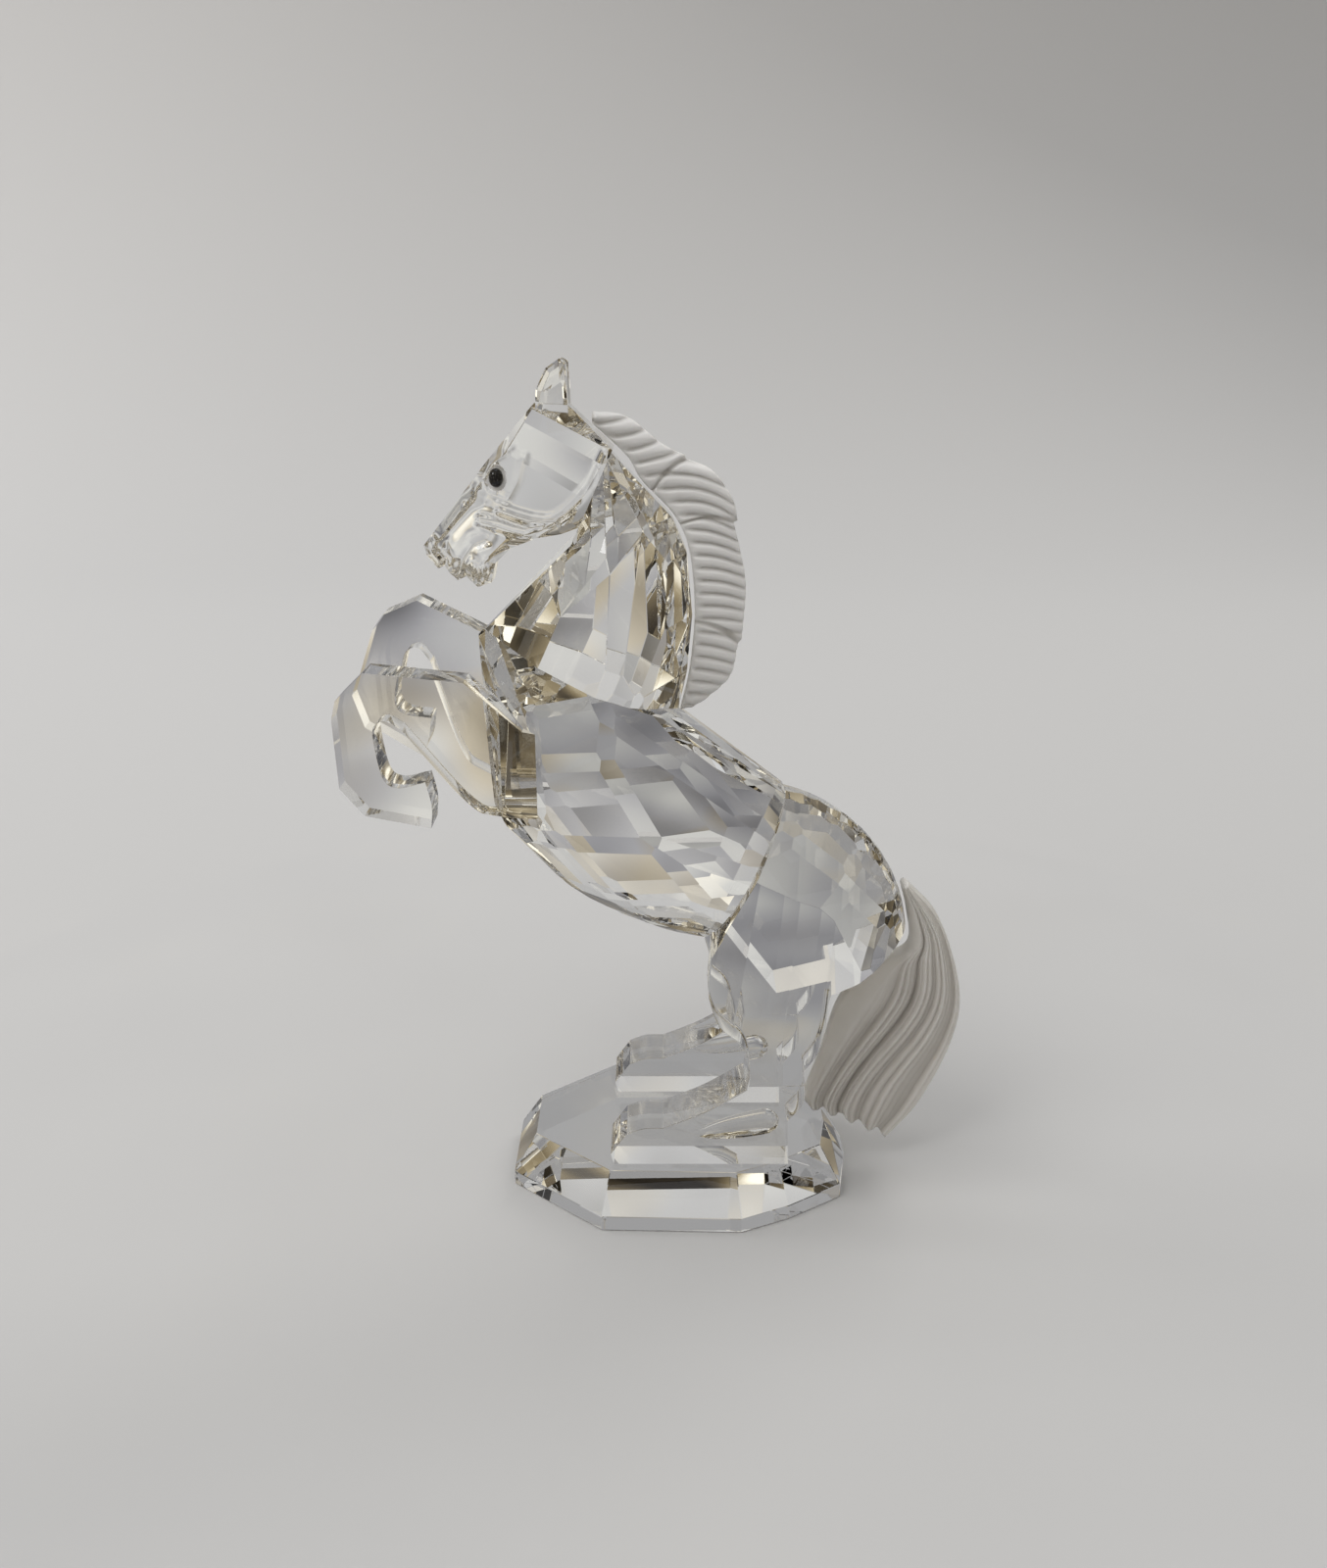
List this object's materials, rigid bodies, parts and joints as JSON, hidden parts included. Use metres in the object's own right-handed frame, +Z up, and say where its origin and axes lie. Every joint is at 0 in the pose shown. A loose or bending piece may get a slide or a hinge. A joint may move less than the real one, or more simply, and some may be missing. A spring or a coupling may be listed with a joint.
{
  "type": "figurine",
  "caption": "Rearing horse figurine of cut clear crystal with a frosted mane and tail, on a low faceted plinth.",
  "frame": {"origin": "middle of the plinth's underside", "axes": "+Z up, -X the way the horse looks, -Y its left side"},
  "size_m": [0.08, 0.0336, 0.108],
  "materials": {
    "plinth": "polished clear crystal",
    "hindquarters": "polished clear crystal",
    "body": "polished clear crystal",
    "neck": "polished clear crystal",
    "head": "polished clear crystal",
    "mane": "frosted",
    "tail": "frosted",
    "left_foreleg": "polished clear crystal",
    "right_foreleg": "polished clear crystal",
    "left_eye": "glossy black bead",
    "right_eye": "glossy black bead"
  },
  "bodies": {
    "root": {"plinth": "plinth", "hindquarters": "hindquarters", "body": "body", "neck": "neck", "head": "head", "mane": "mane", "tail": "tail", "left_foreleg": "left_foreleg", "right_foreleg": "right_foreleg", "left_eye": "left_eye", "right_eye": "right_eye"}
  },
  "joints": []
}
